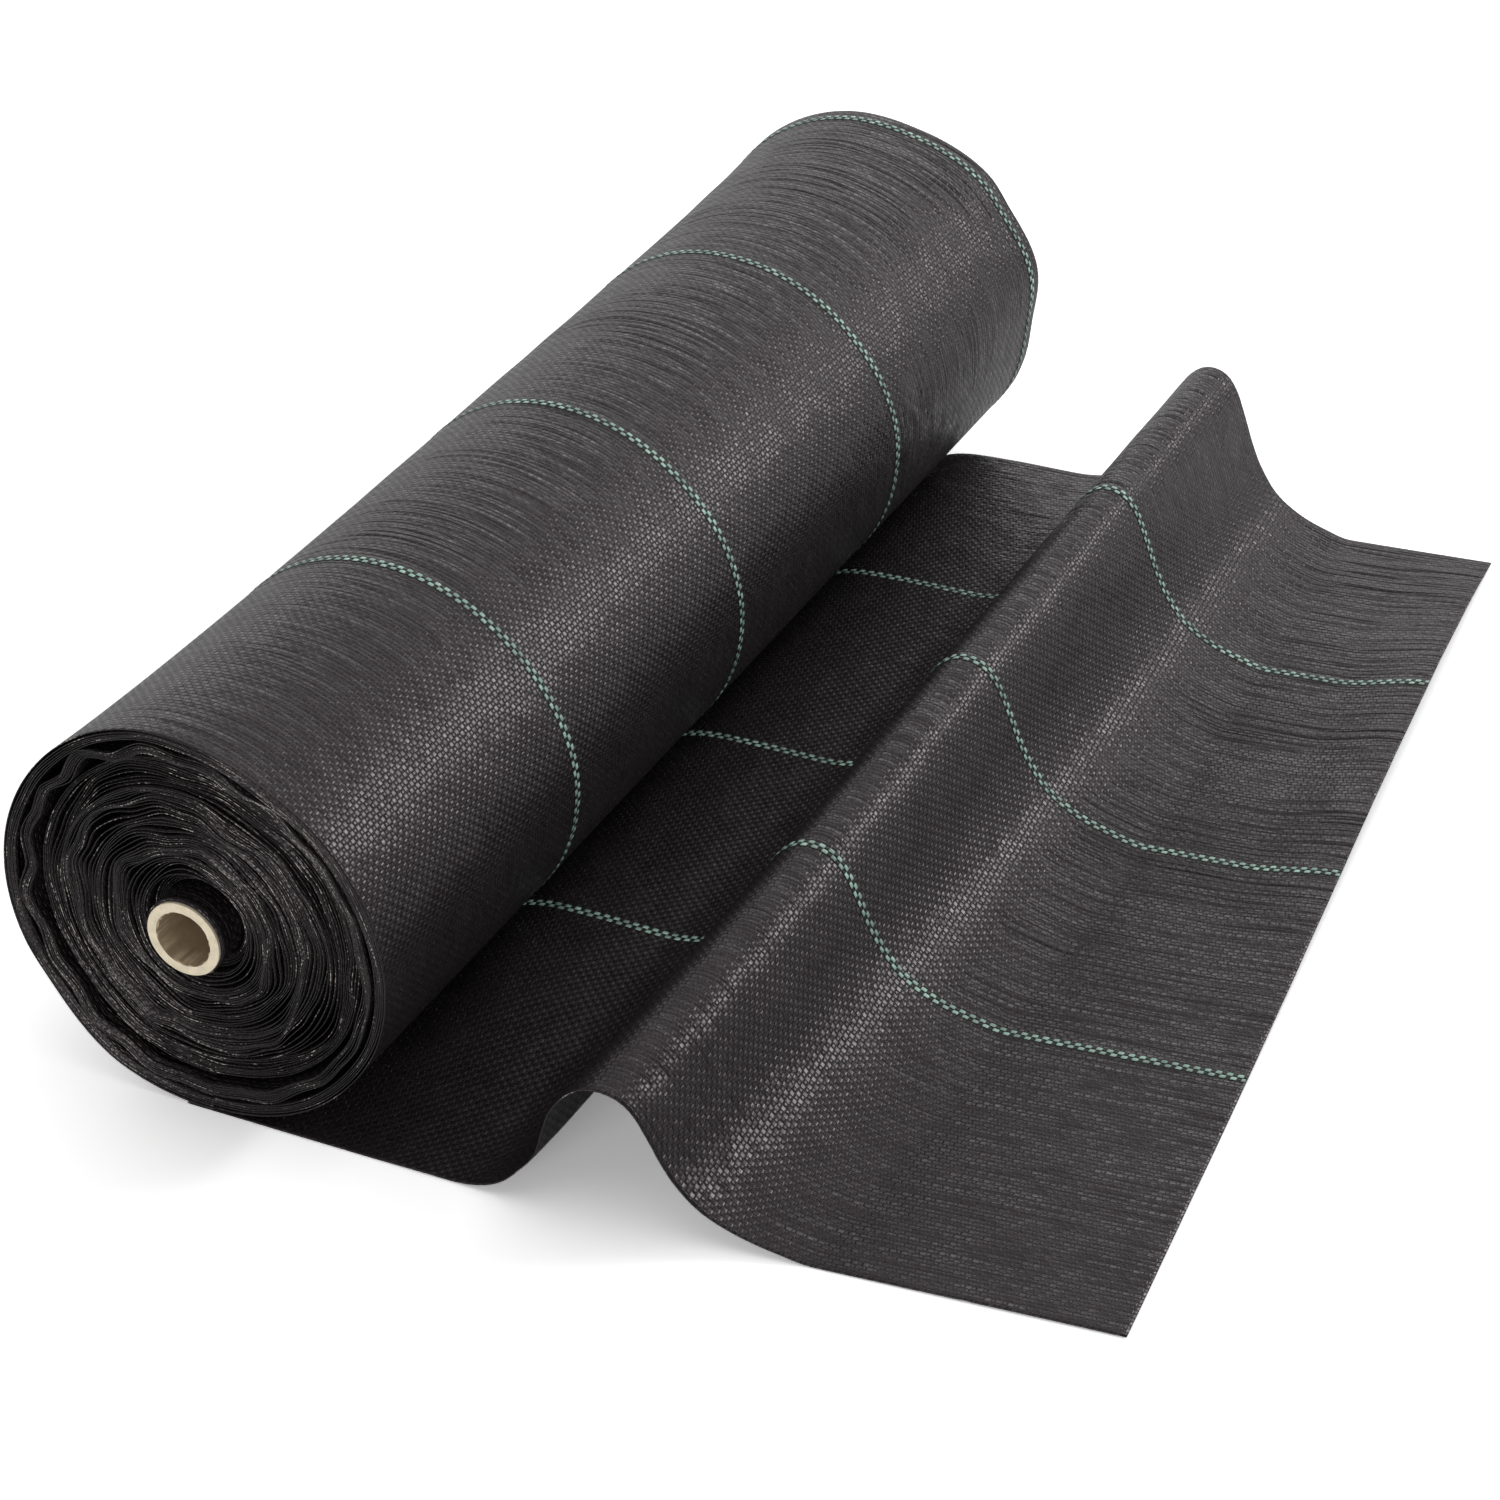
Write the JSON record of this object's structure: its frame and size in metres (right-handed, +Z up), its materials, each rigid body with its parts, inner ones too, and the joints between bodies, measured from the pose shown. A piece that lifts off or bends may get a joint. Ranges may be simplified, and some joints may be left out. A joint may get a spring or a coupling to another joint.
{
  "type": "roll of weed control fabric",
  "caption": "Roll of black woven weed control fabric with green tracer lines on a cardboard core, partly unrolled: the cloth runs out over a standing ridge to a cut free end.",
  "frame": {"origin": "on the ground, under the centre of the box round the roll and its laid cloth", "axes": "+Z up, +Y along the roll from the end the picture shows to the far end, +X from the roll along the laid cloth to its free end"},
  "size_m": [0.747, 1.024, 0.2788],
  "materials": {
    "black_cloth": "satin",
    "green_tracer": "satin",
    "cardboard_core": "matte"
  },
  "bodies": {
    "laid_cloth": {"laid_sheet": "black_cloth", "tracer_1_laid_sheet": "green_tracer", "tracer_2_laid_sheet": "green_tracer", "tracer_3_laid_sheet": "green_tracer", "slack_run": "black_cloth", "tracer_1_slack_run": "green_tracer", "tracer_2_slack_run": "green_tracer", "tracer_3_slack_run": "green_tracer"},
    "nip_cloth": {"run_off": "black_cloth", "tracer_1_run_off": "green_tracer", "tracer_2_run_off": "green_tracer", "tracer_3_run_off": "green_tracer"},
    "roll": {"core_tube": "cardboard_core", "core_wraps": "black_cloth", "sunk_wraps": "black_cloth", "inner_wraps": "black_cloth", "loose_wraps": "black_cloth", "outer_wraps": "black_cloth", "outer_turn": "black_cloth", "tracer_1_wound": "green_tracer", "tracer_2_wound": "green_tracer", "tracer_3_wound": "green_tracer", "tracer_4_wound": "green_tracer"}
  },
  "joints": [
    {"name": "roll_travel", "type": "slide", "parent": "laid_cloth", "child": "nip_cloth", "axis": [1, 0, 0], "range_m": [0, 0.1], "deforming": ["slack_run", "tracer_1_slack_run", "tracer_2_slack_run", "tracer_3_slack_run"]},
    {"name": "roll_turn", "type": "hinge", "parent": "nip_cloth", "child": "roll", "pos_m": [-0.23446, 0, 0.14], "axis": [0, 1, 0], "range_deg": [0, 41.35]}
  ],
  "couplings": [
    {"joint": "roll_turn", "follows": "roll_travel", "rad_per_m": 7.2098}
  ]
}
